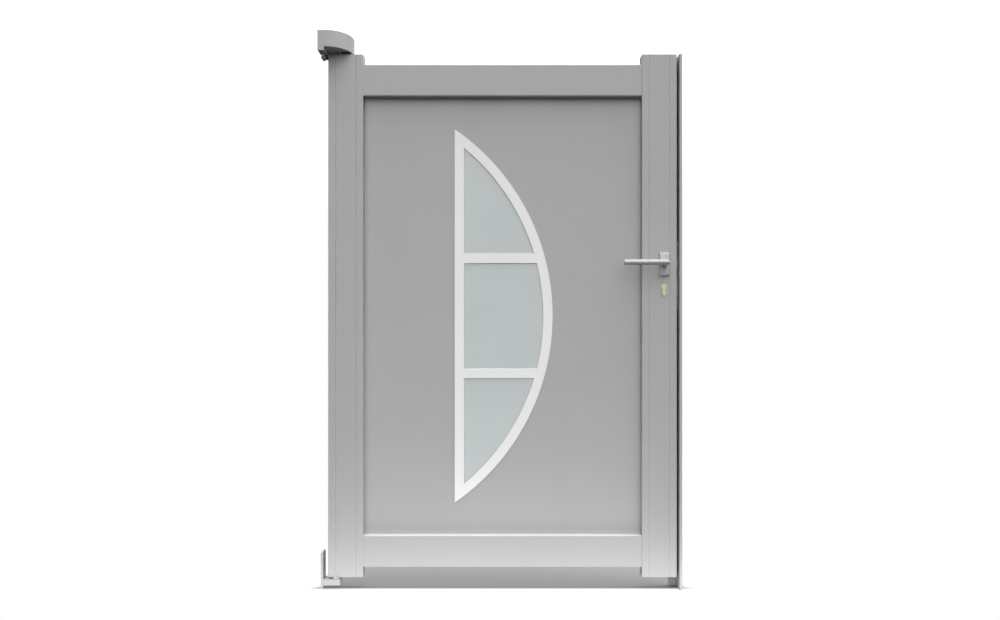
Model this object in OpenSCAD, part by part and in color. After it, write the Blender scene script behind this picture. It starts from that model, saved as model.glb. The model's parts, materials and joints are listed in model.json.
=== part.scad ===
// Aluminium garden gate: one leaf that hangs between two walls or posts.
// Millimetres. X = 0 is the wall on the hinge side and +X runs across the opening to the strike.
// Y = 0 is the plane of the hinge axis and -Y is the side towards which the leaf opens.
// Z = 0 is the middle of the lower hinge bracket's wall plate.

/* [Opening and leaf] */
// Clear width between the two walls
opening_w = 1000; // [750:1:1400]
// Height of the leaf with its end caps
leaf_h = 1450; // [1200:1:2000]
// Depth of the stiles, front to back
leaf_depth = 50; // [46:1:70]
// Gap under the leaf
ground_gap = 35; // [32:1:80]
// Gap between the hinge wall and the leaf
hinge_gap = 19; // [17:1:40]
// Gap between the leaf and the strike profile
strike_gap = 6; // [5.8:0.1:12]
// Distance from the hinge edge of the leaf to the hinge axis
axis_inset = 20.5; // [18:0.5:26]
// Distance from the front of the leaf to the hinge axis
axis_setback = 16; // [14:0.5:20]

/* [Stiles and rails] */
// Width of each stile
stile_w = 97; // [90:1:140]
// Wall of the stile and rail profiles
profile_wall = 2; // [1.6:0.1:3]
// Outer corner radius of the stiles and their caps
profile_r = 2; // [1:0.5:2.5]
// Outer corner radius of the rails
rail_r = 3; // [1:0.5:3.5]
// Distance from a stile's edge to the middle of its V-groove
vee_inset = 20; // [14:0.5:26]
// Width of a V-groove at the surface
vee_w = 4.4; // [2:0.2:6]
// Height of each rail
rail_h = 87; // [60:1:140]
// Distance from a stile's end to the outer edge of its rail
rail_inset = 27.5; // [20:0.5:80]
// Step from the face of the stiles back to the face of the rails
rail_recess = 2; // [1:0.5:5]
// Thickness of the stile end caps
cap_t = 2; // [1.5:0.5:4]
// Depth of the plug that holds a cap in its stile
cap_plug_h = 12; // [6:1:25]

/* [Panel and window] */
// Thickness of the infill panel
panel_t = 8; // [6:0.5:10]
// Distance from the front of the leaf back to the front of the panel
panel_setback = 30; // [22:0.5:34]
// Depth by which the panel enters the stiles and rails
panel_grip = 12; // [8:1:18]
// Height of the half-moon window, outside its trim
window_h = 1045; // [700:1:1080]
// Width of the half-moon window at its middle, outside its trim
window_w = 274; // [180:1:330]
// Distance from the wall on the hinge side to the window's straight edge
window_x = 369; // [300:0.5:420]
// Width of the window trim and of its crossbars
trim_w = 26; // [20:1:40]
// Thickness of the window trim
trim_t = 3; // [2:0.5:3]
// Distance from the window's middle to the middle of each crossbar
crossbar_offset = 161; // [110:1:180]
// Overlap of the trim on the panel around the cut-out
trim_lap = 12; // [8:1:16]

/* [Hinges] */
// Thickness of the wall plates
plate_t = 6; // [5:0.5:8]
// Width of the wall plates, front to back
plate_w = 48; // [44:1:60]
// Height of the lower wall plate
lower_plate_h = 100; // [90:1:140]
// Gap between the ground and the lower wall plate
plate_ground_gap = 5; // [3:1:20]
// Thickness of the lower bracket's foot
foot_t = 16; // [14:1:22]
// Reach of both brackets past the hinge axis
bracket_reach = 13.5; // [13:0.5:24]
// Gap between a bracket and the end of the leaf
bracket_gap = 5; // [5:0.5:10]
// Diameter of the lower pivot pin
lower_pin_d = 16; // [12:1:18]
// Diameter of the upper pivot pin
upper_pin_d = 12; // [10:1:16]
// Depth by which both pins enter the leaf
pin_grip = 38; // [25:1:45]
// Wall of the pivot bushes
bush_wall = 3; // [2:0.5:4]
// Thickness of the upper bracket's arm
arm_t = 12; // [8:1:16]
// Diameter of the boss around the upper pin
boss_d = 26; // [22:1:30]
// Diameter of the wall bolt holes
bolt_hole_d = 9; // [7:0.5:11]
// Diameter of the countersinks for the wall bolts
countersink_d = 17; // [13:0.5:20]

/* [Hinge cover] */
// Length of the cover along the leaf
cover_l = 86.5; // [84:0.5:140]
// Width of the cover, front to back
cover_w = 110; // [90:1:140]
// Distance from the hinge axis to the front of the cover
cover_front = 81; // [60:1:95]
// Height of the cover's top above the leaf
cover_rise = 50; // [46:1:70]
// Length of the cover's round front, along the leaf
cover_round_l = 66.5; // [40:0.5:80]
// Depth of the cover's round front, front to back
cover_round_w = 95; // [60:1:105]
// Wall of the cover
cover_wall = 3; // [2:0.5:4]
// Depth of the plate that closes the cover's underside at the front, beside the wall
cover_floor_l = 50; // [0:1:55]
// Depth by which the cover hangs below the top of the leaf beside the wall
cover_lip_h = 5; // [0:1:12]

/* [Strike] */
// Width of the strike profile's front face
strike_w = 7.5; // [7:0.5:12]
// Distance by which the strike stands in front of the leaf
strike_proud = 8; // [4:1:20]
// Overlap of the strike's stop behind the leaf
stop_lap = 15.5; // [12:0.5:18]
// Thickness of the stop
stop_t = 6; // [4:0.5:10]
// Wall of the strike profile
strike_wall = 2; // [1.5:0.1:2.5]
// Thickness of the seal between the stop and the leaf
seal_t = 6; // [5:0.5:8]
// Width of the seal
seal_w = 10; // [8:0.5:12]
// Distance from the strike's ends to its outer fixing holes
strike_hole_end = 90; // [60:5:200]
// Distance from the keep to the fixing hole above it and the one below it
strike_hole_keep = 40; // [20:5:100]
// Diameter of the strike's fixing holes
strike_hole_d = 6; // [5:0.5:7]

/* [Lock and handles] */
// Height of the handles' spindle above the ground
spindle_h = 905; // [800:1:1050]
// Distance from the leaf's free edge to the spindle
backset = 35.5; // [33:0.5:40]
// Distance from the spindle down to the middle of the lock cylinder
cylinder_drop = 65; // [60:1:92]
// Side of the square spindle
spindle_s = 8; // [7:1:9]
// Diameter of the round lever bar and its neck
lever_d = 16; // [14:1:20]
// Length of a lever from the spindle axis to its tip
lever_l = 116.5; // [95:0.5:135]
// Distance from the face of the stile to the middle of the lever bar
lever_stand = 58; // [45:1:70]
// Width of each rosette
rosette_w = 27; // [26:1:30]
// Height of each rosette
rosette_h = 71; // [60:1:80]
// Thickness of each rosette
rosette_t = 8; // [6:1:10]
// Distance from the spindle down to the middle of its rosette
rosette_drop = 4; // [0:1:10]
// Diameter of the round part of the lock cylinder
cylinder_d = 17; // [16:0.5:18]
// Overall height of the lock cylinder's profile
cylinder_h = 33; // [31:0.5:35]
// Width of the lock cylinder's tail
cylinder_tail_w = 10; // [8:0.5:11]
// Distance by which the lock cylinder stands out of each face
cylinder_proud = 3; // [1:0.5:5]
// Height of the lock's faceplate
faceplate_h = 235; // [200:1:270]
// Width of the lock's faceplate
faceplate_w = 22; // [18:1:24]
// Height of the lock case
case_h = 165; // [150:1:185]
// Depth of the lock case from the faceplate
case_d = 52; // [50:1:60]
// Thickness of the lock case
case_t = 15; // [12:1:18]

/* [Hidden] */
$fn = 64;
EPS = 0.01;              // overlap that keeps a cut clean
COVER_STEPS = 40;        // flats in the round front of the hinge cover
CUT = 1;                 // length by which a cut runs past a face
FIT = 0.2;               // gap around a piece that is fitted in a profile
RUN = 0.05;              // radial clearance of a turning pin
SEAT = 0.3;              // gap between a seal or thrust face and what moves on it
TURN = 0.5;              // room added to a bracket's gap where the leaf turns past
SLOT = [0.2, 0.2];       // gaps before and behind the panel in its slot

// Colours
COAT = [0.66, 0.66, 0.66];
TRIM_COLOUR = [0.88, 0.88, 0.88];
FROST = [0.73, 0.77, 0.76];
STEEL = [0.62, 0.63, 0.65];
BRASS = [0.78, 0.74, 0.62];
RUBBER = [0.09, 0.09, 0.09];

// Planes of the whole gate
ground_z = -lower_plate_h / 2 - plate_ground_gap;
leaf_bottom = ground_z + ground_gap;
leaf_top = leaf_bottom + leaf_h;
leaf_left = hinge_gap;
leaf_right = opening_w - strike_w - strike_gap;
leaf_front = -axis_setback;
leaf_back = leaf_front + leaf_depth;
leaf_mid_y = (leaf_front + leaf_back) / 2;
axis_x = leaf_left + axis_inset;

// Stiles, rails and panel
stile_z0 = leaf_bottom + cap_t;
stile_l = leaf_h - 2 * cap_t;
vee_depth = vee_w / 4;
rail_left = leaf_left + stile_w;
rail_l = leaf_right - stile_w - rail_left;
rail_front = leaf_front + rail_recess;
rail_depth = leaf_depth - 2 * rail_recess;
top_rail_z = leaf_top - rail_inset - rail_h;
bottom_rail_z = leaf_bottom + rail_inset;
panel_front = leaf_front + panel_setback;
panel_back = panel_front + panel_t;
panel_left = rail_left - panel_grip + FIT;
panel_right = rail_left + rail_l + panel_grip - FIT;
panel_bottom = bottom_rail_z + rail_h - panel_grip + FIT;
panel_top = top_rail_z + panel_grip - FIT;

// Half-moon window: a segment of a circle
window_z = (leaf_bottom + leaf_top) / 2;
window_r = (pow(window_h / 2, 2) + pow(window_w, 2)) / (2 * window_w);
window_cx = window_x + window_w - window_r;

// Hinges
foot_top = leaf_bottom - bracket_gap;
bracket_l = axis_x + bracket_reach;
lower_bolts_z = [-12, 36];
path_gap = bracket_gap + TURN;
plate_r = 3;
boss_bottom = leaf_top + path_gap;
boss_drop = 5;
arm_z = boss_bottom + boss_drop;
collar_d = lower_pin_d + 2 * bush_wall + 3;
pin_head_d = upper_pin_d + 8;
pin_head_h = 4;
cover_top = leaf_top + cover_rise;
cover_rim = leaf_top + path_gap;
cover_low_rim = leaf_top - cover_lip_h;
cover_y0 = -cover_front;
cover_y1 = cover_y0 + cover_w;
upper_plate_top = cover_top - cover_wall - FIT;
upper_plate_lap = 10;
upper_plate_bottom = leaf_top - upper_plate_lap;
upper_bolt_rise = 11;
upper_bolts_z = arm_z + arm_t + upper_bolt_rise;
upper_bolts_y = [-15, 15];
open_leaf_x = axis_x - axis_setback;     // hinge-side face of the leaf when it stands open
block_h = 60;
block_reach = 30;                        // from the hinge axis into the stile
bush_l = pin_grip + 4;

// Strike
strike_x = opening_w - strike_w;
strike_r = 1;
strike_h = leaf_top - ground_z;
strike_front = leaf_front - strike_proud;
stop_front = leaf_back + SEAT + seal_t;
stop_back = stop_front + stop_t;
stop_x = leaf_right - stop_lap;
keep_h = 190;
keep_w = 24;

// Lock and handles
spindle_x = leaf_right - backset;
spindle_z = ground_z + spindle_h;
cylinder_z = spindle_z - cylinder_drop;
lock_mid_z = spindle_z - cylinder_drop / 2;
faceplate_t = 3;
neck_hole_d = lever_d - 2;               // hole in the stile behind a rosette
follower_d = spindle_s * 1.5;            // hole in the lock case around the spindle
spindle_grip = 20;                       // depth of the spindle in each lever's neck
rosette_r = 3;
bolt_ports = [[0, 34], [-cylinder_drop, 44]];   // height from the spindle, length of each port
port_w = 13;
strike_holes = [
    ground_z + strike_hole_end,
    lock_mid_z - keep_h / 2 - strike_hole_keep,
    lock_mid_z + keep_h / 2 + strike_hole_keep,
    leaf_top - strike_hole_end
];

// ---- Shared shapes ----

// Rectangle with round corners, its low corner at the origin
module round_rect(size, r) {
    translate([r, 0]) square([size.x - 2 * r, size.y]);
    translate([0, r]) square([size.x, size.y - 2 * r]);
    for (x = [r, size.x - r], y = [r, size.y - r])
        translate([x, y]) circle(r = r);
}

// Puts an outline drawn in Y and Z into place and runs it along X
module run_x(x0, length) {
    translate([x0, 0, 0]) rotate([90, 0, 90]) linear_extrude(length) children();
}

// Puts an outline drawn in X and Z into place and runs it along Y
module run_y(y0, length) {
    translate([0, y0 + length, 0]) rotate([90, 0, 0]) linear_extrude(length) children();
}

// V-grooves of a stile on both faces; side = 0 cuts them, side = 1 follows them inside the wall
module vees(side) {
    grow = side * profile_wall;
    half = vee_w / 2 + grow;
    deep = vee_depth + grow;
    for (x = [vee_inset, stile_w - vee_inset]) {
        polygon([[x - half, -EPS], [x + half, -EPS], [x, deep]]);
        polygon([[x - half, leaf_depth + EPS], [x + half, leaf_depth + EPS],
                 [x, leaf_depth - deep]]);
    }
}

// Slot for the panel in the far side of a profile that is w wide
module panel_slot(w, front, extra) {
    y0 = front - SLOT[0] - extra;
    y1 = front + panel_t + SLOT[1] + extra;
    translate([w - panel_grip - extra, y0]) square([panel_grip + extra + CUT, y1 - y0]);
}

// Section of a stile, with the panel on its +X side
module stile_section() {
    difference() {
        round_rect([stile_w, leaf_depth], profile_r);
        difference() {
            translate([profile_wall, profile_wall])
                square([stile_w - 2 * profile_wall, leaf_depth - 2 * profile_wall]);
            vees(1);
            panel_slot(stile_w, panel_setback, profile_wall);
        }
        vees(0);
        panel_slot(stile_w, panel_setback, 0);
    }
}

// Section of a rail, drawn with its depth along X and the panel above it
module rail_section() {
    back = panel_setback - rail_recess;
    difference() {
        round_rect([rail_depth, rail_h], rail_r);
        difference() {
            translate([profile_wall, profile_wall])
                square([rail_depth - 2 * profile_wall, rail_h - 2 * profile_wall]);
            translate([back - SLOT[0] - profile_wall, rail_h - panel_grip - profile_wall])
                square([panel_t + SLOT[0] + SLOT[1] + 2 * profile_wall,
                        panel_grip + profile_wall]);
        }
        translate([back - SLOT[0], rail_h - panel_grip])
            square([panel_t + SLOT[0] + SLOT[1], panel_grip + CUT]);
    }
}

// Window outline, drawn in from the trim's outer edge by the given inset
module window_outline(inset) {
    intersection() {
        translate([window_cx, window_z]) circle(r = window_r - inset, $fn = 256);
        translate([window_x + inset, window_z - window_h / 2])
            square([window_w, window_h]);
    }
}

// Trim of the window: a ring with two crossbars
module window_trim(y0) {
    run_y(y0, trim_t) {
        difference() {
            window_outline(0);
            window_outline(trim_w);
        }
        for (side = [-1, 1])
            intersection() {
                window_outline(trim_w - CUT);
                translate([window_x, window_z + side * crossbar_offset - trim_w / 2])
                    square([window_w, trim_w]);
            }
    }
}

// One pane of the window between two heights
module window_pane(z0, z1) {
    color(FROST) run_y(panel_front + FIT, panel_t - 2 * FIT) intersection() {
        window_outline(trim_lap + FIT);
        translate([window_x, z0 + FIT]) square([window_w, z1 - z0 - 2 * FIT]);
    }
}

// Profile of the lock cylinder in X and Z around the middle of its round part
module cylinder_profile(gap) {
    circle(d = cylinder_d + 2 * gap);
    tail = cylinder_h - cylinder_d / 2 - cylinder_tail_w / 2;
    translate([-cylinder_tail_w / 2 - gap, -tail])
        square([cylinder_tail_w + 2 * gap, tail]);
    translate([0, -tail]) circle(d = cylinder_tail_w + 2 * gap);
}

// Countersunk hole through a wall plate
module wall_hole(y, z) {
    translate([0, y, z]) rotate([0, 90, 0]) {
        translate([0, 0, -CUT]) cylinder(d = bolt_hole_d, h = plate_t + 2 * CUT);
        translate([0, 0, plate_t - (countersink_d - bolt_hole_d) / 2])
            cylinder(d1 = bolt_hole_d, d2 = countersink_d, h = (countersink_d - bolt_hole_d) / 2);
        translate([0, 0, plate_t - EPS]) cylinder(d = countersink_d, h = CUT);
    }
}

// ---- Fittings on the walls ----

module lower_bracket() {
    color(COAT) difference() {
        union() {
            run_x(0, plate_t)
                translate([-plate_w / 2, -lower_plate_h / 2])
                    round_rect([plate_w, lower_plate_h], plate_r);
            translate([0, 0, foot_top - foot_t]) linear_extrude(foot_t) union() {
                translate([0, -plate_w / 2]) round_rect([bracket_l, plate_w], plate_r);
                translate([0, -plate_w / 2]) square([plate_t, plate_w]);
            }
        }
        for (z = lower_bolts_z)
            wall_hole(0, z);
        translate([axis_x, 0, foot_top - foot_t - CUT])
            cylinder(d = lower_pin_d + 2 * RUN, h = foot_t + 2 * CUT);
    }
}

// Pin with its thrust collar, which carries the leaf
module lower_pivot_pin() {
    color(STEEL) translate([axis_x, 0, 0]) {
        translate([0, 0, foot_top - foot_t])
            cylinder(d = lower_pin_d, h = foot_t + bracket_gap + pin_grip);
        translate([0, 0, foot_top])
            cylinder(d = collar_d, h = bracket_gap - SEAT);
    }
}

module upper_bracket() {
    color(STEEL) difference() {
        union() {
            run_x(0, plate_t)
                translate([-plate_w / 2, upper_plate_bottom])
                    round_rect([plate_w, upper_plate_top - upper_plate_bottom], plate_r);
            translate([0, 0, arm_z]) linear_extrude(arm_t) union() {
                translate([0, -boss_d / 2]) square([axis_x, boss_d]);
                translate([axis_x, 0]) circle(d = boss_d);
            }
            translate([axis_x, 0, boss_bottom])
                cylinder(d = boss_d, h = arm_z + arm_t - boss_bottom);
        }
        for (y = upper_bolts_y)
            wall_hole(y, upper_bolts_z);
        translate([axis_x, 0, boss_bottom - CUT])
            cylinder(d = upper_pin_d + 2 * RUN, h = arm_z + arm_t - boss_bottom + 2 * CUT);
    }
}

module upper_pivot_pin() {
    top = arm_z + arm_t;
    color(STEEL) translate([axis_x, 0, 0]) {
        translate([0, 0, leaf_top - pin_grip])
            cylinder(d = upper_pin_d, h = top - leaf_top + pin_grip);
        translate([0, 0, top]) cylinder(d = pin_head_d, h = pin_head_h);
    }
}

// Plan of the cover, drawn in by the given wall: its front curves back as a quarter of an ellipse
module cover_plan(inset) {
    centre = [cover_l - cover_round_l, cover_y0 + cover_round_w];
    a = cover_round_l - inset;
    b = cover_round_w - inset;
    polygon(concat(
        [[-inset, cover_y0 + inset]],
        [for (i = [0 : COVER_STEPS]) let (t = 90 * i / COVER_STEPS)
            [centre.x + a * sin(t), centre.y - b * cos(t)]],
        [[cover_l - inset, cover_y1 - inset], [-inset, cover_y1 - inset]]
    ));
}

// Cover without its underside, drawn in by the given wall
module cover_body(inset) {
    low = cover_low_rim - inset;
    translate([0, 0, low]) linear_extrude(cover_top - inset - low) cover_plan(inset);
}

module hinge_cover() {
    low = cover_low_rim - CUT;
    color(COAT) difference() {
        union() {
            difference() {
                cover_body(0);
                cover_body(cover_wall);
            }
            translate([0, cover_y0 + cover_wall / 2, cover_low_rim])
                cube([cover_l / 2, cover_floor_l - cover_wall / 2, cover_wall]);
        }
        // The rim is raised wherever the top of the leaf passes under it
        translate([open_leaf_x - path_gap, cover_y0 - CUT, low])
            cube([cover_l, cover_w + 2 * CUT, cover_rim - low]);
        translate([hinge_gap - path_gap, leaf_front - bracket_gap, low])
            cube([cover_l, cover_w, cover_rim - low]);
    }
}

// Outline of the hollow channel on the far wall
module channel_outline() {
    translate([strike_x, strike_front])
        round_rect([strike_w, stop_back - strike_front], strike_r);
}

module strike_channel() {
    color(COAT) difference() {
        translate([0, 0, ground_z + cap_t]) linear_extrude(strike_h - 2 * cap_t) difference() {
            channel_outline();
            translate([strike_x + strike_wall, strike_front + strike_wall])
                square([strike_w - 2 * strike_wall,
                        stop_back - strike_front - 2 * strike_wall]);
        }
        for (z = strike_holes)
            translate([strike_x - CUT, leaf_mid_y, z])
                rotate([0, 90, 0]) cylinder(d = strike_hole_d, h = strike_w + 2 * CUT);
        translate([strike_x - CUT, leaf_mid_y - keep_w / 2 - FIT, lock_mid_z - keep_h / 2 - FIT])
            cube([CUT + strike_wall + EPS, keep_w + 2 * FIT, keep_h + 2 * FIT]);
    }
}

// Stop behind the leaf's free edge, flush against the channel
module strike_stop() {
    w = strike_x - stop_x;
    color(COAT) translate([stop_x, stop_front, ground_z]) linear_extrude(strike_h) {
        round_rect([w, stop_t], strike_r);
        translate([w / 2, 0]) square([w / 2, stop_t]);
    }
}

module strike_end_caps() {
    color(COAT) for (z = [ground_z, leaf_top - cap_t])
        translate([0, 0, z]) linear_extrude(cap_t) channel_outline();
}

// Rubber seal on the stop: a foot and a round bulb
module strike_seal() {
    bulb = seal_t / 2;
    mid_x = leaf_right - stop_lap / 2;
    color(RUBBER) translate([0, 0, leaf_bottom]) linear_extrude(leaf_h) {
        translate([mid_x - seal_w / 2, stop_front - bulb]) square([seal_w, bulb]);
        translate([mid_x - seal_w / 2 + bulb, stop_front - bulb]) circle(r = bulb);
        translate([mid_x + seal_w / 2 - bulb, stop_front - bulb]) circle(r = bulb);
        translate([mid_x - seal_w / 2 + bulb, stop_front - seal_t])
            square([seal_w - 2 * bulb, bulb]);
    }
}

module strike_keep() {
    color(STEEL) difference() {
        translate([strike_x, leaf_mid_y - keep_w / 2, lock_mid_z - keep_h / 2])
            cube([strike_wall, keep_w, keep_h]);
        for (port = bolt_ports)
            translate([strike_x - CUT, leaf_mid_y - port_w / 2,
                       spindle_z + port[0] - port[1] / 2])
                cube([strike_wall + 2 * CUT, port_w, port[1]]);
    }
}

// ---- Leaf ----

module hinge_stile() {
    color(COAT) translate([leaf_left, leaf_front, stile_z0])
        linear_extrude(stile_l) stile_section();
}

// Cuts of the lock and the handles through a stile
module lock_cuts() {
    run_y(leaf_front - CUT, leaf_depth + 2 * CUT) {
        translate([spindle_x, spindle_z]) circle(d = neck_hole_d);
        translate([spindle_x, cylinder_z]) cylinder_profile(FIT);
    }
    translate([leaf_right - profile_wall - EPS, leaf_mid_y - faceplate_w / 2 - FIT,
               lock_mid_z - faceplate_h / 2 - FIT])
        cube([profile_wall + CUT, faceplate_w + 2 * FIT, faceplate_h + 2 * FIT]);
}

module lock_stile() {
    color(COAT) difference() {
        translate([leaf_right, leaf_front, stile_z0])
            mirror([1, 0, 0]) linear_extrude(stile_l) stile_section();
        lock_cuts();
    }
}

// Plate of the cap on a stile's end
module stile_cap(x0, z0) {
    translate([x0, leaf_front, z0]) linear_extrude(cap_t)
        round_rect([stile_w, leaf_depth], profile_r);
}

// Plug of a lock stile's cap, clear of the V-grooves and the panel slot
module cap_plug(z0) {
    inset = profile_wall + vee_depth + FIT;
    slot = panel_grip + profile_wall + FIT;
    translate([leaf_right - stile_w + slot, leaf_front + inset, z0])
        cube([stile_w - slot - profile_wall - FIT, leaf_depth - 2 * inset, cap_plug_h]);
}

module hinge_stile_top_cap() {
    color(COAT) difference() {
        stile_cap(leaf_left, leaf_top - cap_t);
        translate([axis_x, 0, leaf_top - cap_t - CUT])
            cylinder(d = upper_pin_d + 2 * bush_wall + 2 * FIT, h = cap_t + 2 * CUT);
    }
}

module hinge_stile_bottom_cap() {
    color(COAT) difference() {
        stile_cap(leaf_left, leaf_bottom);
        translate([axis_x, 0, leaf_bottom - CUT])
            cylinder(d = lower_pin_d + 2 * bush_wall + 2 * FIT, h = cap_t + 2 * CUT);
    }
}

module lock_stile_top_cap() {
    color(COAT) {
        stile_cap(leaf_right - stile_w, leaf_top - cap_t);
        cap_plug(leaf_top - cap_t - cap_plug_h);
    }
}

module lock_stile_bottom_cap() {
    color(COAT) {
        stile_cap(leaf_right - stile_w, leaf_bottom);
        cap_plug(leaf_bottom + cap_t);
    }
}

module bottom_rail() {
    color(COAT) run_x(rail_left, rail_l)
        translate([rail_front, bottom_rail_z]) rail_section();
}

module top_rail() {
    color(COAT) run_x(rail_left, rail_l)
        translate([rail_front, top_rail_z + rail_h]) mirror([0, 1]) rail_section();
}

module infill_panel() {
    color(COAT) run_y(panel_front, panel_t) difference() {
        translate([panel_left, panel_bottom])
            square([panel_right - panel_left, panel_top - panel_bottom]);
        window_outline(trim_lap);
    }
}

module window_trim_front() {
    color(TRIM_COLOUR) window_trim(panel_front - trim_t);
}

module window_trim_back() {
    color(TRIM_COLOUR) window_trim(panel_back);
}

module window_pane_upper() {
    window_pane(window_z + crossbar_offset, window_z + window_h / 2);
}

module window_pane_middle() {
    window_pane(window_z - crossbar_offset, window_z + crossbar_offset);
}

module window_pane_lower() {
    window_pane(window_z - window_h / 2, window_z - crossbar_offset);
}

// Solid block in a stile's end, bored for a bush; clear of the V-grooves
module pivot_block(z0, pin_d) {
    side = profile_wall + FIT;
    inset = profile_wall + vee_depth + FIT;
    color(STEEL) difference() {
        translate([leaf_left + side, leaf_front + inset, z0])
            cube([axis_inset + block_reach, leaf_depth - 2 * inset, block_h]);
        translate([axis_x, 0, z0 - CUT])
            cylinder(d = pin_d + 2 * bush_wall + 2 * RUN, h = block_h + 2 * CUT);
    }
}

module lower_pivot_block() {
    pivot_block(leaf_bottom + cap_t, lower_pin_d);
}

module upper_pivot_block() {
    pivot_block(leaf_top - cap_t - block_h, upper_pin_d);
}

// Bush for a pin
module bush(z0, pin_d) {
    translate([axis_x, 0, z0]) difference() {
        cylinder(d = pin_d + 2 * bush_wall, h = bush_l);
        translate([0, 0, -CUT]) cylinder(d = pin_d + 2 * RUN, h = bush_l + 2 * CUT);
    }
}

module lower_bush() {
    color(RUBBER) bush(leaf_bottom, lower_pin_d);
}

module upper_bush() {
    color(RUBBER) bush(leaf_top - bush_l, upper_pin_d);
}

// ---- Lock ----

module lock_case() {
    x1 = leaf_right - faceplate_t;
    color(STEEL) difference() {
        translate([x1 - case_d, leaf_mid_y - case_t / 2, lock_mid_z - case_h / 2])
            cube([case_d, case_t, case_h]);
        run_y(leaf_front, leaf_depth) {
            translate([spindle_x, spindle_z]) circle(d = follower_d);
            translate([spindle_x, cylinder_z]) cylinder_profile(FIT);
        }
    }
}

module lock_faceplate() {
    color(STEEL)
        translate([leaf_right - faceplate_t, leaf_mid_y - faceplate_w / 2,
                   lock_mid_z - faceplate_h / 2])
            cube([faceplate_t, faceplate_w, faceplate_h]);
}

module lock_cylinder() {
    color(BRASS) run_y(leaf_front - cylinder_proud, leaf_depth + 2 * cylinder_proud)
        translate([spindle_x, cylinder_z]) cylinder_profile(0);
}

// Rosette around the neck of a lever
module rosette(y0) {
    color(STEEL) run_y(y0, rosette_t) difference() {
        translate([spindle_x - rosette_w / 2, spindle_z - rosette_drop - rosette_h / 2])
            round_rect([rosette_w, rosette_h], rosette_r);
        translate([spindle_x, spindle_z]) circle(d = lever_d + 4 * RUN);
    }
}

module rosette_front() {
    rosette(leaf_front - rosette_t);
}

module rosette_back() {
    rosette(leaf_back);
}

// ---- Handles ----

// Lever on the front; the one on the back is its mirror image
module lever() {
    neck_l = lever_stand - SEAT;
    color(STEEL) difference() {
        translate([spindle_x, leaf_front - lever_stand, spindle_z]) {
            rotate([-90, 0, 0]) cylinder(d = lever_d, h = neck_l);
            sphere(d = lever_d);
            rotate([0, -90, 0]) cylinder(d = lever_d, h = lever_l);
        }
        translate([spindle_x - spindle_s / 2 - RUN, leaf_front - spindle_grip - RUN,
                   spindle_z - spindle_s / 2 - RUN])
            cube([spindle_s + 2 * RUN, spindle_grip + CUT, spindle_s + 2 * RUN]);
    }
}

module lever_front() {
    lever();
}

module lever_back() {
    translate([0, 2 * leaf_mid_y, 0]) mirror([0, 1, 0]) lever();
}

module spindle() {
    color(STEEL)
        translate([spindle_x - spindle_s / 2, leaf_front - spindle_grip,
                   spindle_z - spindle_s / 2])
            cube([spindle_s, leaf_depth + 2 * spindle_grip, spindle_s]);
}

lower_bracket();
lower_pivot_pin();
upper_bracket();
upper_pivot_pin();
hinge_cover();
strike_channel();
strike_stop();
strike_end_caps();
strike_seal();
strike_keep();
hinge_stile();
lock_stile();
hinge_stile_top_cap();
hinge_stile_bottom_cap();
lock_stile_top_cap();
lock_stile_bottom_cap();
top_rail();
bottom_rail();
infill_panel();
window_trim_front();
window_trim_back();
window_pane_upper();
window_pane_middle();
window_pane_lower();
lower_pivot_block();
upper_pivot_block();
lower_bush();
upper_bush();
lock_case();
lock_faceplate();
lock_cylinder();
rosette_front();
rosette_back();
lever_front();
lever_back();
spindle();
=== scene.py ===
"""Looks of the aluminium garden gate: materials, small fittings, camera, floor and studio light."""
import json
import math

import bmesh
import bpy
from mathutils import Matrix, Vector


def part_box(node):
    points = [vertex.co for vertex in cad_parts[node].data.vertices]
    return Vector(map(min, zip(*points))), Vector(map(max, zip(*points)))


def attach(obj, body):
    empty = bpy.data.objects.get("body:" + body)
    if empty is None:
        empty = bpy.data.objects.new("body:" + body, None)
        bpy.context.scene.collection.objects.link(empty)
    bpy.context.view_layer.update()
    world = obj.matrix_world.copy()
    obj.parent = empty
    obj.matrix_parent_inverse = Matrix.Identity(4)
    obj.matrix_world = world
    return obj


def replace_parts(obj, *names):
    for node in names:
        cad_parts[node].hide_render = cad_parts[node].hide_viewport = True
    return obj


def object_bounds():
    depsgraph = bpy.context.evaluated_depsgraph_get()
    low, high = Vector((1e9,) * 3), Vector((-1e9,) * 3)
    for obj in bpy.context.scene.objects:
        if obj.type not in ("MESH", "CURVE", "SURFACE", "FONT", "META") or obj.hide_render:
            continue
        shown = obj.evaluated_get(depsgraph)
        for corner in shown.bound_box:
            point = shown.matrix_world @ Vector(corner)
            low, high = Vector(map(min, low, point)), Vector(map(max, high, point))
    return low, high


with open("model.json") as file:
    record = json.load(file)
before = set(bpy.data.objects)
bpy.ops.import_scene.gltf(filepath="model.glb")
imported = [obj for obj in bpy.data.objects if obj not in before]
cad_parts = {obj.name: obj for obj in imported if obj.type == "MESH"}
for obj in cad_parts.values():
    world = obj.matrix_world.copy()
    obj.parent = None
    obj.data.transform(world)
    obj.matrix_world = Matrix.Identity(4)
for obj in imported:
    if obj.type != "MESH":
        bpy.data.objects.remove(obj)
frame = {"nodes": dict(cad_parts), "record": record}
CAD_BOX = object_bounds()
NODES = frame["nodes"]
MM = 0.001


# ---- Materials ----

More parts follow.
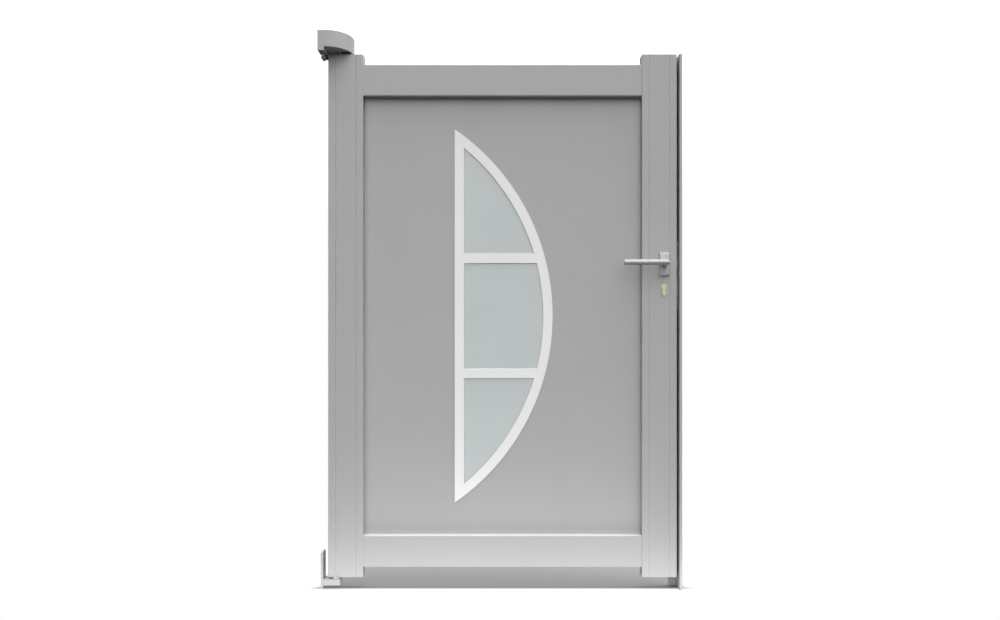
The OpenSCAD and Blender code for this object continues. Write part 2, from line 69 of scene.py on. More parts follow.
class Graph:
    """A node tree with short calls for the nodes used here."""

    def __init__(self, tree):
        self.tree = tree

    def node(self, kind, **props):
        made = self.tree.nodes.new(kind)
        for key, value in props.items():
            setattr(made, key, value)
        return made

    def link(self, a, b):
        self.tree.links.new(a, b)

    def put(self, socket, value):
        if isinstance(value, bpy.types.NodeSocket):
            self.link(value, socket)
        else:
            socket.default_value = value

    def ramp(self, fac, low, high):
        """Maps low..high of a value to 0..1."""
        made = self.node("ShaderNodeMapRange", clamp=True)
        self.link(fac, made.inputs["Value"])
        made.inputs["From Min"].default_value = low
        made.inputs["From Max"].default_value = high
        return made.outputs["Result"]

    def scaled(self, fac, low, high):
        """Maps 0..1 of a value to low..high."""
        made = self.node("ShaderNodeMapRange", clamp=True)
        self.link(fac, made.inputs["Value"])
        made.inputs["To Min"].default_value = low
        made.inputs["To Max"].default_value = high
        return made.outputs["Result"]

    def maths(self, operation, a, b=0.0):
        made = self.node("ShaderNodeMath", operation=operation)
        self.put(made.inputs[0], a)
        self.put(made.inputs[1], b)
        return made.outputs[0]


class Paint(Graph):
    """A material; its textures lie in the part's own frame, in metres."""

    def __init__(self, name):
        self.mat = bpy.data.materials.new(name)
        self.mat.use_nodes = True
        super().__init__(self.mat.node_tree)
        self.shader = self.tree.nodes["Principled BSDF"]
        self.place = self.node("ShaderNodeTexCoord").outputs["Object"]

    def stretch(self, scale):
        """The frame's coordinates scaled along each axis."""
        mapping = self.node("ShaderNodeMapping")
        self.link(self.place, mapping.inputs["Vector"])
        mapping.inputs["Scale"].default_value = scale
        return mapping.outputs["Vector"]

    def noise(self, scale, detail=2.0, rough=0.5, at=None):
        made = self.node("ShaderNodeTexNoise")
        self.link(at or self.place, made.inputs["Vector"])
        made.inputs["Scale"].default_value = scale
        made.inputs["Detail"].default_value = detail
        made.inputs["Roughness"].default_value = rough
        return made.outputs["Fac"]

    def cells(self, scale, out="Distance", at=None):
        made = self.node("ShaderNodeTexVoronoi")
        self.link(at or self.place, made.inputs["Vector"])
        made.inputs["Scale"].default_value = scale
        return made.outputs[out]

    def mix(self, fac, a, b, kind="MIX"):
        made = self.node("ShaderNodeMix", data_type="RGBA", blend_type=kind)
        self.put(made.inputs["Factor"], fac)
        self.put(made.inputs[6], a)
        self.put(made.inputs[7], b)
        return made.outputs[2]

    def axis(self, name):
        made = self.node("ShaderNodeSeparateXYZ")
        self.link(self.place, made.inputs[0])
        return made.outputs[name]

    def bump(self, height, distance, strength=1.0, base=None):
        made = self.node("ShaderNodeBump")
        self.link(height, made.inputs["Height"])
        made.inputs["Distance"].default_value = distance
        made.inputs["Strength"].default_value = strength
        if base is not None:
            self.link(base, made.inputs["Normal"])
        return made.outputs["Normal"]

    def finish(self, colour, roughness, normal=None, **sockets):
        self.put(self.shader.inputs["Base Color"], colour)
        self.put(self.shader.inputs["Roughness"], roughness)
        if normal is not None:
            self.link(normal, self.shader.inputs["Normal"])
        for key, value in sockets.items():
            self.shader.inputs[key.replace("_", " ")].default_value = value
        return self.mat


def rgb(r, g, b):
    return (r, g, b, 1.0)


def shade(colour, factor):
    return rgb(*[c * factor for c in colour[:3]])


# The first colour is dust splashed up near the ground; the second is a pale grey laid on faces that look
# up, a painted highlight.
SPLASH_DUST, LEDGE_HIGHLIGHT = rgb(0.42, 0.40, 0.37), rgb(0.80, 0.80, 0.79)
SPLASH_Z = 0.06                      # the trace of dust from the ground fades out at this height
PEEL_DEPTH, FLECK_DEPTH = 0.00005, 0.000012


def powder_coat(name, colour, roughness, grain=1.0, top_highlight=0.0):
    """Satin powder coat: fine orange peel, faint clouding and a trace of dust near the ground.

    The last argument sets how far faces that look up are lightened toward a pale grey: a painted
    highlight for light from above.
    """
    g = Paint(name)
    cloud = g.noise(4.0, 3.0)
    fleck = g.noise(2600.0, 1.0)
    tone = g.mix(g.ramp(cloud, 0.3, 0.7), shade(colour, 0.985), shade(colour, 1.015))
    tone = g.mix(g.scaled(g.ramp(fleck, 0.35, 0.65), 0.0, 0.10), tone, shade(colour, 0.82))
    near_ground = g.ramp(g.axis("Z"), SPLASH_Z, CAD_BOX[0].z)
    splash = g.maths("MULTIPLY", near_ground, g.ramp(g.noise(60.0, 4.0), 0.45, 0.75))
    tone = g.mix(g.scaled(splash, 0.0, 0.18), tone, SPLASH_DUST)
    # Faces that look up are lightened toward a pale grey: a painted highlight for light falling from
    # above.
    if top_highlight > 0:
        facing = g.node("ShaderNodeSeparateXYZ")
        g.link(g.node("ShaderNodeNewGeometry").outputs["Normal"], facing.inputs[0])
        looks_up = g.ramp(facing.outputs["Z"], 0.6, 0.95)
        highlight_mask = g.maths("MULTIPLY", looks_up, g.scaled(cloud, 0.8, 1.0))
        tone = g.mix(g.scaled(highlight_mask, 0.0, top_highlight), tone, LEDGE_HIGHLIGHT)
    peel = g.bump(g.noise(620.0, 2.0), PEEL_DEPTH * grain)
    normal = g.bump(fleck, FLECK_DEPTH * grain, base=peel)
    rough = g.scaled(g.ramp(g.noise(35.0, 3.0), 0.3, 0.7), roughness - 0.03, roughness + 0.03)
    return g.finish(tone, rough, normal, Specular_IOR_Level=0.12)


def metal(name, colour, roughness, lines=(1.0, 1.0, 1.0), streak=0.06, depth=0.000008, sheen=1.0):
    """Metal with fine brushed lines; the lines run along the axis with the smallest factor."""
    g = Paint(name)
    at = g.stretch(lines)
    brush = g.noise(900.0, 3.0, 0.6, at)
    smudge = g.noise(45.0, 3.0)
    tone = g.mix(g.ramp(brush, 0.3, 0.7), shade(colour, 1 - streak), shade(colour, 1 + streak))
    tone = g.mix(g.scaled(g.ramp(smudge, 0.5, 0.8), 0.0, 0.12), tone, shade(colour, 0.8))
    rough = g.scaled(g.ramp(g.noise(70.0, 3.0), 0.3, 0.7), roughness - 0.05, roughness + 0.07)
    return g.finish(tone, rough, g.bump(brush, depth), Metallic=sheen)


def zinc(name, colour, roughness, sheen=1.0):
    """Zinc-plated steel: small crystals, a little cloud and duller patches."""
    g = Paint(name)
    crystal = g.cells(320.0, "Color")
    grey = g.node("ShaderNodeRGBToBW")
    g.link(crystal, grey.inputs[0])
    tone = g.mix(g.scaled(grey.outputs[0], 0.0, 1.0), shade(colour, 0.9), shade(colour, 1.1))
    tone = g.mix(g.scaled(g.ramp(g.noise(60.0, 4.0), 0.45, 0.75), 0.0, 0.4), tone, shade(colour, 0.7))
    rough = g.scaled(grey.outputs[0], roughness - 0.06, roughness + 0.08)
    return g.finish(tone, rough, g.bump(g.noise(1400.0, 2.0), 0.00001), Metallic=sheen)


def frosted(name, colour):
    """Acid-frosted laminated glass: a milky body under a finely etched face."""
    g = Paint(name)
    cloud = g.noise(9.0, 2.0)
    tone = g.mix(g.ramp(cloud, 0.3, 0.7), shade(colour, 0.985), shade(colour, 1.015))
    etch = g.noise(1800.0, 3.0, 0.65)
    tone = g.mix(g.scaled(g.ramp(etch, 0.4, 0.7), 0.0, 0.08), tone, rgb(0.72, 0.76, 0.75))
    rough = g.scaled(g.ramp(etch, 0.3, 0.7), 0.46, 0.58)
    return g.finish(tone, rough, g.bump(etch, 0.00001), Transmission_Weight=0.08, IOR=1.5)


def rubbery(name, colour, bloomed, roughness, scale, depth):
    """Rubber, nylon or sealant: a fine grain under a paler bloom."""
    g = Paint(name)
    bloom = g.ramp(g.noise(110.0, 4.0), 0.45, 0.8)
    tone = g.mix(g.scaled(bloom, 0.0, 0.35), colour, shade(colour, bloomed))
    rough = g.scaled(bloom, roughness - 0.05, roughness + 0.08)
    return g.finish(tone, rough, g.bump(g.noise(scale, 2.0), depth))


GREY = powder_coat("coat_grey", rgb(0.37, 0.37, 0.37), 0.5)
# The bottom rail's coat, whose faces that look up carry a painted highlight.
LEDGE = powder_coat("coat_grey_lit_top", rgb(0.37, 0.37, 0.37), 0.5, top_highlight=0.75)
LIGHT = powder_coat("coat_light", rgb(0.73, 0.73, 0.73), 0.45)
BRACKET = powder_coat("coat_bracket", rgb(0.35, 0.35, 0.35), 0.46, 1.5)
COVER = powder_coat("plastic_cover", rgb(0.37, 0.37, 0.37), 0.5, 1.8)
GLASS = frosted("glass_frosted", rgb(0.475, 0.515, 0.515))
STEEL = zinc("steel_zinc", rgb(0.84, 0.85, 0.86), 0.5, 0.2)
SATIN_X = metal("satin_along_x", rgb(0.36, 0.36, 0.36), 0.5, (0.03, 1.0, 1.0), sheen=0.4)
SATIN_Z = metal("satin_along_z", rgb(0.36, 0.36, 0.36), 0.5, (1.0, 1.0, 0.03), sheen=0.4)
BRASS = metal("brass_pale", rgb(0.46, 0.42, 0.31), 0.5, (1.0, 0.03, 1.0), sheen=0.6)
RUBBER = rubbery("rubber_black", rgb(0.022, 0.022, 0.022), 2.2, 0.62, 900.0, 0.00003)
NYLON = rubbery("nylon_black", rgb(0.035, 0.035, 0.035), 2.2, 0.5, 600.0, 0.00002)
SEALANT = rubbery("sealant_pale", rgb(0.40, 0.42, 0.42), 1.08, 0.5, 300.0, 0.00002)
SCREW = zinc("screw_zinc", rgb(0.74, 0.74, 0.75), 0.42, 0.5)
BOLT = metal("bolt_steel", rgb(0.62, 0.62, 0.63), 0.34, (1.0, 1.0, 0.03))

FINISHES = {
    "grey_coat": GREY, "light_coat": LIGHT, "bracket_coat": BRACKET, "cover_plastic": COVER,
    "frosted_glass": GLASS, "bracket_steel": STEEL, "handle_metal": SATIN_Z, "brass": BRASS,
    "rubber": RUBBER, "nylon": NYLON,
}
for part in frame["record"]["subparts"]:
    own = NODES[part["node"]]
    own.data.materials.clear()
    own.data.materials.append(FINISHES[part["material_slot"]])
for name in ("lever_front", "lever_back"):
    NODES[name].data.materials[0] = SATIN_X
# The bottom rail's top face gets the painted highlight.
NODES["bottom_rail"].data.materials[0] = LEDGE


def ease(node, width, segments=2):
    """Breaks the sharp edges of a CAD node by a width in millimetres."""
    weld = NODES[node].modifiers.new("weld", "WELD")
    weld.merge_threshold = 0.002 * MM
    bevel = NODES[node].modifiers.new("ease", "BEVEL")
    bevel.width = width * MM
    bevel.segments = segments
    bevel.limit_method = "ANGLE"
    bevel.angle_limit = math.radians(40)
    bevel.harden_normals = True


ease("lower_bracket", 0.5)


# ---- Small fittings and seals ----

SHARP = 32                # degrees between faces that makes an edge sharp
ARM = 0.26                # half width of a drive slot over its half length
CORNER_STEPS = 6
LEAF, WALL, HANDLE = "leaf", "wall_fittings", "handle"
ROUND, HEX, CROSS, SLOT = "round", "hex", "cross", "slot"


def piece(name, rings, material, body, around=False):
    """Skin over rings of points; the ends are closed, or joined to each other when it goes around."""
    bm = bmesh.new()
    rows = [[bm.verts.new(point) for point in ring] for ring in rings]
    pairs = list(zip(rows, rows[1:] + rows[:1])) if around else list(zip(rows, rows[1:]))
    for one, two in pairs:
        for i in range(len(one)):
            j = (i + 1) % len(one)
            bm.faces.new((one[i], one[j], two[j], two[i]))
    if not around:
        bm.faces.new(rows[0][::-1])
        bm.faces.new(rows[-1])
    bmesh.ops.recalc_face_normals(bm, faces=bm.faces)
    mesh = bpy.data.meshes.new(name)
    bm.to_mesh(mesh)
    bm.free()
    mesh.shade_smooth()
    mesh.set_sharp_from_angle(angle=math.radians(SHARP))
    mesh.materials.append(material)
    made = bpy.data.objects.new(name, mesh)
    bpy.context.scene.collection.objects.link(made)
    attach(made, body)
    return made


def reach(shape, size, angle):
    """How far an outline of a shape lies from its middle at an angle."""
    if shape == ROUND:
        return size
    if shape == HEX:
        return size / math.cos((angle + math.pi / 6) % (math.pi / 3) - math.pi / 6)
    across, along = abs(math.sin(angle)) + 1e-6, abs(math.cos(angle)) + 1e-6
    bar = min(size / along, size * ARM / across)
    if shape == SLOT:
        return bar
    return max(bar, min(size / across, size * ARM / along))


def turned(name, foot, axis, profile, material, body, steps=48):
    """Turned piece on an axis; profile holds (size, height, shape) from its hidden end to its middle."""
    axis = Vector(axis)
    up = Vector((0, 0, 1)) if abs(axis.z) < 0.5 else Vector((1, 0, 0))
    side = axis.cross(up)
    rings = []
    for size, height, shape in profile:
        ring = []
        for i in range(steps):
            a = 2 * math.pi * i / steps
            r = reach(shape, size, a)
            across = up * (r * math.cos(a)) + side * (r * math.sin(a))
            ring.append(Vector(foot) + (axis * height + across) * MM)
        rings.append(ring)
    return piece(name, rings, material, body)


def block(name, middle, axis, half, corner, layers, material, body):
    """Plate with round corners on an axis; layers holds (height, inset) from its hidden end outwards."""
    axis = Vector(axis)
    up = Vector((0, 0, 1)) if abs(axis.z) < 0.5 else Vector((1, 0, 0))
    side = axis.cross(up)
    rings = []
    for height, inset in layers:
        ring = []
        r = max(corner - inset, 0.05)
        for k, (su, sv) in enumerate(((1, 1), (-1, 1), (-1, -1), (1, -1))):
            for i in range(CORNER_STEPS + 1):
                a = math.pi / 2 * (k + i / CORNER_STEPS)
                u = su * (half[0] - inset - r) + r * math.cos(a)
                v = sv * (half[1] - inset - r) + r * math.sin(a)
                ring.append(Vector(middle) + (axis * height + up * u + side * v) * MM)
        rings.append(ring)
    return piece(name, rings, material, body)


def inset_outline(points, inset):
    """Closed outline in X and Z drawn in by a distance; it runs anticlockwise."""
    result = []
    for i, here in enumerate(points):
        before = (here - points[i - 1]).normalized()
        after = (points[(i + 1) % len(points)] - here).normalized()
        n1, n2 = Vector((-before.y, before.x)), Vector((-after.y, after.x))
        result.append(here + (n1 + n2) * (inset / (1 + n1.dot(n2))))
    return result


def middle(node):
    a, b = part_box(node)
    return (a + b) / 2


# Profiles of turned pieces in mm, as (size, height, shape); a drive or a key slot sinks in at the end
WALL_BOLT = [(4.2, 0.2, ROUND), (4.2, 1.9, ROUND), (7.9, 5.5, ROUND), (8.1, 5.75, ROUND),
             (7.8, 5.9, ROUND), (3.3, 5.9, ROUND), (2.95, 5.75, HEX), (2.5, 5.3, HEX), (2.5, 3.0, HEX),
             (0.3, 2.3, ROUND)]
SUNK = [(2.0, -7.2, ROUND), (2.0, -3.2, ROUND), (2.7, -2.4, ROUND), (2.75, -0.5, ROUND),
        (2.5, -0.25, ROUND), (1.9, -0.25, ROUND), (1.7, -0.4, CROSS), (1.3, -1.6, CROSS),
        (0.2, -2.2, ROUND)]
FLUSH = [(1.6, -1.4, ROUND), (3.0, -0.2, ROUND), (3.1, 0.05, ROUND), (2.6, 0.28, ROUND),
         (2.2, 0.36, ROUND), (1.9, 0.3, CROSS), (1.4, -0.8, CROSS), (0.2, -1.2, ROUND)]
PLUG = [(6.4, -1.0, ROUND), (6.4, 0.1, ROUND), (6.1, 0.35, ROUND), (5.2, 0.4, ROUND), (4.6, 0.4, SLOT),
        (4.4, 0.2, SLOT), (4.4, -0.8, SLOT), (0.4, -0.9, ROUND)]
COLLAR = [(8.05, 0.35, ROUND), (9.6, 0.35, ROUND), (10.2, 0.8, ROUND), (10.2, 1.7, ROUND),
          (9.6, 2.3, ROUND), (8.05, 2.5, ROUND)]
LEVER_CAP = [(7.4, -3.0, ROUND), (7.4, 0.1, ROUND), (7.1, 0.35, ROUND), (6.0, 0.5, ROUND),
             (0.3, 0.6, ROUND)]
SCREW_STEPS, PLUG_STEPS = 32, 64

# Countersunk wall bolts with a hexagon socket, flush with the plates
LOWER_BOLTS_Z = (-12, 36)
UPPER_BOLTS_Y = (-15, 15)
PIN_HEAD_H, BOLTS_ABOVE_ARM = 4, 11
upper_bolts_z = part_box("upper_pivot_pin")[1].z / MM - PIN_HEAD_H + BOLTS_ABOVE_ARM
bolts = [("lower_wall_bolt_%d" % i, 0, z) for i, z in enumerate(LOWER_BOLTS_Z)]
bolts += [("upper_wall_bolt_%d" % i, y, upper_bolts_z) for i, y in enumerate(UPPER_BOLTS_Y)]
for name, y, z in bolts:
    turned(name, (0, y * MM, z * MM), (1, 0, 0), WALL_BOLT, SCREW, WALL)

# Frame screws sunk in the strike channel, and the screws of the keep
strike_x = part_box("strike_channel")[0].x
keep_lo, keep_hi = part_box("strike_keep")
leaf_lo, leaf_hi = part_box("hinge_stile_bottom_cap")[0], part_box("hinge_stile_top_cap")[1]
mid_y = (leaf_lo.y + leaf_hi.y) / 2
strike_low_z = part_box("strike_stop")[0].z
STRIKE_SCREW_END = 90          # from an end of the strike
STRIKE_SCREW_KEEP = 40         # from an end of the keep
PLATE_SCREW_END = 10           # from an end of the keep or the faceplate
heights = (strike_low_z + STRIKE_SCREW_END * MM, keep_lo.z - STRIKE_SCREW_KEEP * MM,
           keep_hi.z + STRIKE_SCREW_KEEP * MM, leaf_hi.z - STRIKE_SCREW_END * MM)
for i, z in enumerate(heights):
    turned("strike_screw_%d" % i, (strike_x, mid_y, z), (-1, 0, 0), SUNK, SCREW, WALL,
           SCREW_STEPS)
for i, z in enumerate((keep_lo.z + PLATE_SCREW_END * MM, keep_hi.z - PLATE_SCREW_END * MM)):
    turned("keep_screw_%d" % i, (keep_lo.x, mid_y, z), (-1, 0, 0), FLUSH, SCREW, WALL,
           SCREW_STEPS)

# Lock: screws of its faceplate, ends of the latch and the bolt
face_lo, face_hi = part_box("lock_faceplate")
for i, z in enumerate((face_lo.z + PLATE_SCREW_END * MM, face_hi.z - PLATE_SCREW_END * MM)):
    turned("faceplate_screw_%d" % i, (face_hi.x, mid_y, z), (1, 0, 0), FLUSH, SCREW, LEAF,
           SCREW_STEPS)
spindle = middle("spindle")
cylinder_lo, cylinder_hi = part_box("lock_cylinder")
CYLINDER_R = 8.5
cylinder_z = cylinder_hi.z - CYLINDER_R * MM
LATCH_HALF, BOLT_HALF, END_CORNER = (15, 5.6), (19, 5.6), 0.8
END_LAYERS = [(-1.5, 0), (0.15, 0), (0.35, 0.3), (0.4, 0.8)]
for name, z, half in (("latch_end", spindle.z, LATCH_HALF), ("bolt_end", cylinder_z, BOLT_HALF)):
    block(name, (face_hi.x, mid_y, z), (1, 0, 0), half, END_CORNER, END_LAYERS, BOLT, LEAF)

# Key plugs with their slots, in both ends of the cylinder
for name, y, out in (("front", cylinder_lo.y, -1), ("back", cylinder_hi.y, 1)):
    turned("key_plug_" + name, (spindle.x, y, cylinder_z), (0, out, 0), PLUG, BRASS, LEAF,
           PLUG_STEPS)

# Rosettes: crowned plates that fall away in a wide soft bevel above and below
ROSE_CROWN = 1.3               # how far the flat face falls from its middle to its ends
ROSE_BEVEL, ROSE_FALL = 7.0, 5.5
ROSE_CORNER, ROSE_EDGE = 3.0, 1.4
ROSE_SHORT = 2.5               # its lower end stops short of the CAD plate's
ROSE_STEPS = 12


def rosette_ring(z, half_w, half_h, thick):
    """Section of a rosette at a height, as (across, depth) in mm."""
    end = abs(z) - (half_h - ROSE_BEVEL)
    depth = thick - ROSE_CROWN * (z / half_h) ** 2
    if end > 0:
        depth -= ROSE_FALL * (1 - math.sqrt(max(1 - (end / ROSE_BEVEL) ** 2, 0)))
    corner = max(abs(z) - (half_h - ROSE_CORNER), 0)
    wide = half_w - ROSE_CORNER + math.sqrt(max(ROSE_CORNER ** 2 - corner ** 2, 0))
    edge = min(ROSE_EDGE, depth * 0.6)
    turn = [math.pi / 2 * i / CORNER_STEPS for i in range(CORNER_STEPS + 1)]
    right = [(wide - edge + edge * math.cos(t), depth - edge + edge * math.sin(t)) for t in turn]
    left = [(-u, d) for u, d in reversed(right)]
    return [(-wide, 0)] + [(wide, 0)] + right + left


for name, out in (("front", -1), ("back", 1)):
    rose_lo, rose_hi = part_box("rosette_" + name)
    half_w, half_h = (rose_hi.x - rose_lo.x) / 2 / MM, (rose_hi.z - rose_lo.z) / 2 / MM
    thick = (rose_hi.y - rose_lo.y) / MM
    foot = rose_hi.y if out < 0 else rose_lo.y
    mid = middle("rosette_" + name)
    flat = half_h - ROSE_BEVEL
    ends = [flat + ROSE_BEVEL * math.sin(math.pi / 2 * i / ROSE_STEPS) for i in range(ROSE_STEPS + 1)]
    face_rows = [flat * (2 * i / ROSE_STEPS - 1) for i in range(1, ROSE_STEPS)]
    rows = [-z for z in reversed(ends)] + face_rows + ends
    drawn = 1 - ROSE_SHORT / (2 * half_h)
    rings = [[(mid.x + u * MM, foot + out * d * MM, rose_hi.z + (z - half_h) * drawn * MM)
              for u, d in rosette_ring(z, half_w, half_h, thick)] for z in rows]
    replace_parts(piece("rosette_plate_" + name, rings, SATIN_Z, LEAF), "rosette_" + name)

# Handle: a collar round each neck and a cap on each end
LEVER_R = 8
for name, out in (("front", -1), ("back", 1)):
    rose_lo, rose_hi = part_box("rosette_" + name)
    lever_lo, lever_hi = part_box("lever_" + name)
    face = rose_lo.y if out < 0 else rose_hi.y
    bar_y = lever_lo.y + LEVER_R * MM if out < 0 else lever_hi.y - LEVER_R * MM
    turned("lever_collar_" + name, (spindle.x, face, spindle.z), (0, out, 0), COLLAR, SATIN_Z, HANDLE)
    turned("lever_end_" + name, (lever_lo.x, bar_y, spindle.z), (-1, 0, 0), LEVER_CAP, SATIN_X, HANDLE)

# Sealant: a small fillet round each opening of the window, on both faces
TRIM_W, CROSSBAR = 26 * MM, 161 * MM
SEAL_W, SEAL_H, BITE = 1.6 * MM, 1.0 * MM, 0.05 * MM
ARC_STEPS = 32
trim_lo, trim_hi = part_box("window_trim_front")
wide, tall = trim_hi.x - trim_lo.x, trim_hi.z - trim_lo.z
bow_r = (tall * tall / 4 + wide * wide) / (2 * wide)
bow = Vector((trim_hi.x - bow_r, (trim_lo.z + trim_hi.z) / 2))
inner_r = bow_r - TRIM_W
chord_x = trim_lo.x + TRIM_W
tip = math.sqrt(inner_r ** 2 - (chord_x - bow.x) ** 2)


def opening(low_z, high_z):
    """Outline of one opening of the window in X and Z, given from the middle of its height."""
    a0, a1 = math.asin(low_z / inner_r), math.asin(high_z / inner_r)
    angles = [a0 + (a1 - a0) * i / ARC_STEPS for i in range(ARC_STEPS + 1)]
    points = [bow + inner_r * Vector((math.cos(a), math.sin(a))) for a in angles]
    points += [Vector((chord_x, bow.y + z)) for z in (high_z, low_z)]
    return [p for i, p in enumerate(points) if (p - points[i - 1]).length > MM]


bar = CROSSBAR + TRIM_W / 2
openings = {"upper": (bar, tip), "middle": (TRIM_W - bar, bar - TRIM_W), "lower": (-tip, -bar)}
for name, (low_z, high_z) in openings.items():
    pane_lo, pane_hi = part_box("window_pane_" + name)
    edge = opening(low_z, high_z)
    outer, inner = inset_outline(edge, -BITE), inset_outline(edge, SEAL_W)
    for face, y, out in (("front", pane_lo.y, -1), ("back", pane_hi.y, 1)):
        rings = [[(p.x, y + out * SEAL_H, p.y), (p.x, y - out * BITE, p.y), (q.x, y - out * BITE, q.y)]
                 for p, q in zip(outer, inner)]
        piece("window_seal_%s_%s" % (name, face), rings, SEALANT, LEAF, around=True)

# Plate that closes the hinge cover from below in front of the hinge, inside its round front,
# and a web that closes the opening under this plate beside the wall
COVER_ROUND = Vector((66.5, 95)) * MM
COVER_INSET = 3.2 * MM
COVER_RIM, PLATE_GAP = 5.5 * MM, 1.5 * MM      # leaf to the cover's rim, rim to the plate
PLATE_X, PLATE_Y = 18.3 * MM, -16 * MM
PLATE_H, PLATE_EDGE = 2, 0.4
WEB_X, WEB_H, WEB_EDGE = 15.4 * MM, 2.4, 0.4
WEB_BEFORE_PLATE = 14.5 * MM
WEB_FOOT, WEB_HEAD = 2.9 * MM, 0.5 * MM        # its foot stands in the cover, its head in the plate
cover_lo, cover_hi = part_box("hinge_cover")
hub = Vector((cover_hi.x - COVER_ROUND.x, cover_lo.y + COVER_ROUND.y))
last = math.acos((hub.y - PLATE_Y) / (COVER_ROUND.y - COVER_INSET))
base = leaf_hi.z + COVER_RIM + PLATE_GAP


def plate_outline(inset):
    a, b = COVER_ROUND.x - COVER_INSET - inset, COVER_ROUND.y - COVER_INSET - inset
    turn = [last * i / ARC_STEPS for i in range(ARC_STEPS + 1)]
    return ([(PLATE_X + inset, PLATE_Y - inset), (PLATE_X + inset, hub.y - b)]
            + [(hub.x + a * math.sin(t), min(hub.y - b * math.cos(t), PLATE_Y - inset)) for t in turn])


layers = ((0, PLATE_EDGE), (PLATE_EDGE, 0), (PLATE_H - PLATE_EDGE, 0), (PLATE_H, PLATE_EDGE))
rings = [[(x, y, base + height * MM) for x, y in plate_outline(inset * MM)] for height, inset in layers]
piece("cover_closing_plate", rings, COVER, WALL)
web_y = (cover_lo.y + COVER_INSET, PLATE_Y - WEB_BEFORE_PLATE)
web_z = (cover_lo.z + WEB_FOOT, base + WEB_HEAD)
web_half = ((web_z[1] - web_z[0]) / 2 / MM, (web_y[1] - web_y[0]) / 2 / MM)
block("cover_closing_web", (WEB_X, sum(web_y) / 2, sum(web_z) / 2), (1, 0, 0), web_half, 0.6,
      ((0, WEB_EDGE), (WEB_EDGE, 0), (WEB_H - WEB_EDGE, 0), (WEB_H, WEB_EDGE)), COVER, WALL)


# ---- Camera, floor and light ----

low, high = CAD_BOX
centre_x = (low.x + high.x) / 2
CAMERA_PLACE = (0.4958, -3.016, 0.651)
CAMERA_LENS, CAMERA_SHIFT, CAMERA_FAR = 38.937, 0.02524, 60      # mm, sensor widths up, metres
camera = bpy.data.objects.new("camera", bpy.data.cameras.new("camera"))
camera.location = CAMERA_PLACE
camera.rotation_euler = (math.radians(90), 0, 0)
camera.data.lens = CAMERA_LENS
camera.data.shift_y = CAMERA_SHIFT
camera.data.clip_end = CAMERA_FAR
bpy.context.scene.collection.objects.link(camera)
bpy.context.scene.camera = camera


def plane(name, x0, x1, y0, y1, z, material):
    made = bpy.data.objects.new(name, bpy.data.meshes.new(name))
    made.data.from_pydata([(x0, y0, z), (x1, y0, z), (x1, y1, z), (x0, y1, z)], [], [(0, 1, 2, 3)])
    made.data.materials.append(material)
    bpy.context.scene.collection.objects.link(made)
    return made


# The floor near the gate is a matt grey patch under and behind the gate, paler further back; its low
# grey deepens the gate's own shadow there, a painted shade. In front of the gate the floor glows, which
# keeps it white and lights the gate's foot: a painted light. It fades into a white sweep that only the
# camera sees, so that no light comes up from far away. Distances are in metres; each pair in Y says
# where a change begins and where it is complete.
FLOOR_HALF, FLOOR_Y = 1.0, (-0.40, 0.60)
PATCH_HALF = 0.515                               # half width of the lit floor behind the gate
WIDER_Y, WIDER_BY = (0.02, -0.04), 0.08        # in front of the gate it is wider
SIDE_FADE_Y, SIDE_FADE = (0.16, 0.42), (0.02, 0.24)
FRONT_FADE_Y, BACK_FADE_Y = (-0.34, -0.12), (0.52, 0.27)
PALER_Y = (0.0, 0.3)
FLOOR_GREY, FLOOR_PALER = rgb(0.19, 0.19, 0.19), rgb(0.24, 0.24, 0.24)
GLOW_Y, GLOW = (0.012, -0.06), 2.2
SWEEP_HALF, SWEEP_DROP = 20, 0.002

paint = Paint("floor_grey_and_glow")
along = paint.axis("Y")
from_middle = paint.maths("ABSOLUTE", paint.maths("SUBTRACT", paint.axis("X"), centre_x))
wider = paint.scaled(paint.ramp(along, *WIDER_Y), 0.0, WIDER_BY)
inside = paint.maths("SUBTRACT", paint.maths("ADD", wider, PATCH_HALF), from_middle)
soft = paint.scaled(paint.ramp(along, *SIDE_FADE_Y), *SIDE_FADE)
near_x = paint.ramp(paint.maths("DIVIDE", inside, soft), 0.0, 1.0)
near_y = paint.maths("MULTIPLY", paint.ramp(along, *FRONT_FADE_Y), paint.ramp(along, *BACK_FADE_Y))
paint.link(paint.maths("MULTIPLY", near_x, near_y), paint.shader.inputs["Alpha"])
# The floor in front of the gate glows and lights the gate's foot: painted light, not a lamp.
front_glow = paint.scaled(paint.ramp(along, *GLOW_Y), 0.0, GLOW)
paint.link(front_glow, paint.shader.inputs["Emission Strength"])
# The floor is darker grey close behind the gate and paler further back: painted shade under the gate.
pale = paint.mix(paint.ramp(along, *PALER_Y), FLOOR_GREY, FLOOR_PALER)
plane("floor", centre_x - FLOOR_HALF, centre_x + FLOOR_HALF, *FLOOR_Y, low.z,
      paint.finish(pale, 0.9, Emission_Color=rgb(1, 1, 1), Specular_IOR_Level=0.1))
paint = Paint("sweep_white")
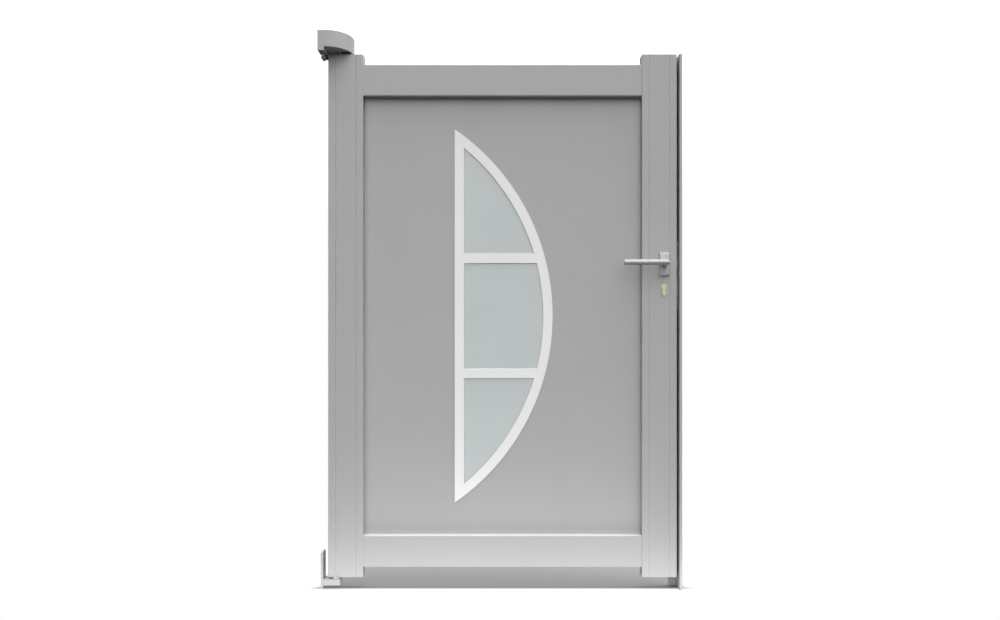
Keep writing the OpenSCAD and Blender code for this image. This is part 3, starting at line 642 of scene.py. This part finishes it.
paint.finish(rgb(0, 0, 0), 1.0, Emission_Color=rgb(1, 1, 1), Emission_Strength=1.0,
             Specular_IOR_Level=0.0)
sweep = plane("sweep", centre_x - SWEEP_HALF, centre_x + SWEEP_HALF, -SWEEP_HALF, SWEEP_HALF,
              low.z - SWEEP_DROP, paint.mat)
for seen_by in ("visible_diffuse", "visible_glossy", "visible_transmission", "visible_shadow"):
    setattr(sweep, seen_by, False)

# Soft studio light from the world: each light is (direction it comes from, how narrow, strength)
LIGHTS = [
    ((0.0, -0.985, 0.17), 14, 4.2),
    ((0.0, -0.79, 0.61), 14, 3.9),
    ((0.49, -0.09, 0.87), 14, 4.6),
    ((0.0, 0.0, 1.0), 14, 6.0),
    ((0.0, 0.7, 0.7), 3, 2.2),
    ((1.0, 0.2, 0.2), 14, 3.2),
    ((-1.0, 0.1, 0.2), 14, 1.0),
]
HORIZON = (-0.06, 0.02)        # the light fades in over this height of its direction
world = bpy.data.worlds.new("studio")
bpy.context.scene.world = world
world.use_nodes = True
sky = Graph(world.node_tree)
place = sky.node("ShaderNodeSeparateXYZ")
sky.link(sky.node("ShaderNodeTexCoord").outputs["Generated"], place.inputs[0])
x, y, z = place.outputs
glow = 0.0
for aim, power, strength in LIGHTS:
    aim = Vector(aim).normalized()
    towards = sky.maths("ADD", sky.maths("MULTIPLY", x, aim.x), sky.maths("MULTIPLY", y, aim.y))
    towards = sky.maths("ADD", towards, sky.maths("MULTIPLY", z, aim.z))
    lobe = sky.maths("MULTIPLY", sky.maths("POWER", sky.maths("MAXIMUM", towards, 0.0), power), strength)
    glow = sky.maths("ADD", glow, lobe)
glow = sky.maths("MULTIPLY", glow, sky.ramp(z, *HORIZON))
ray = sky.node("ShaderNodeLightPath").outputs["Is Camera Ray"]
back = world.node_tree.nodes["Background"]
back.inputs["Color"].default_value = rgb(1, 1, 1)
sky.link(sky.maths("MAXIMUM", ray, glow), back.inputs["Strength"])

bpy.context.scene.view_settings.view_transform = "Standard"
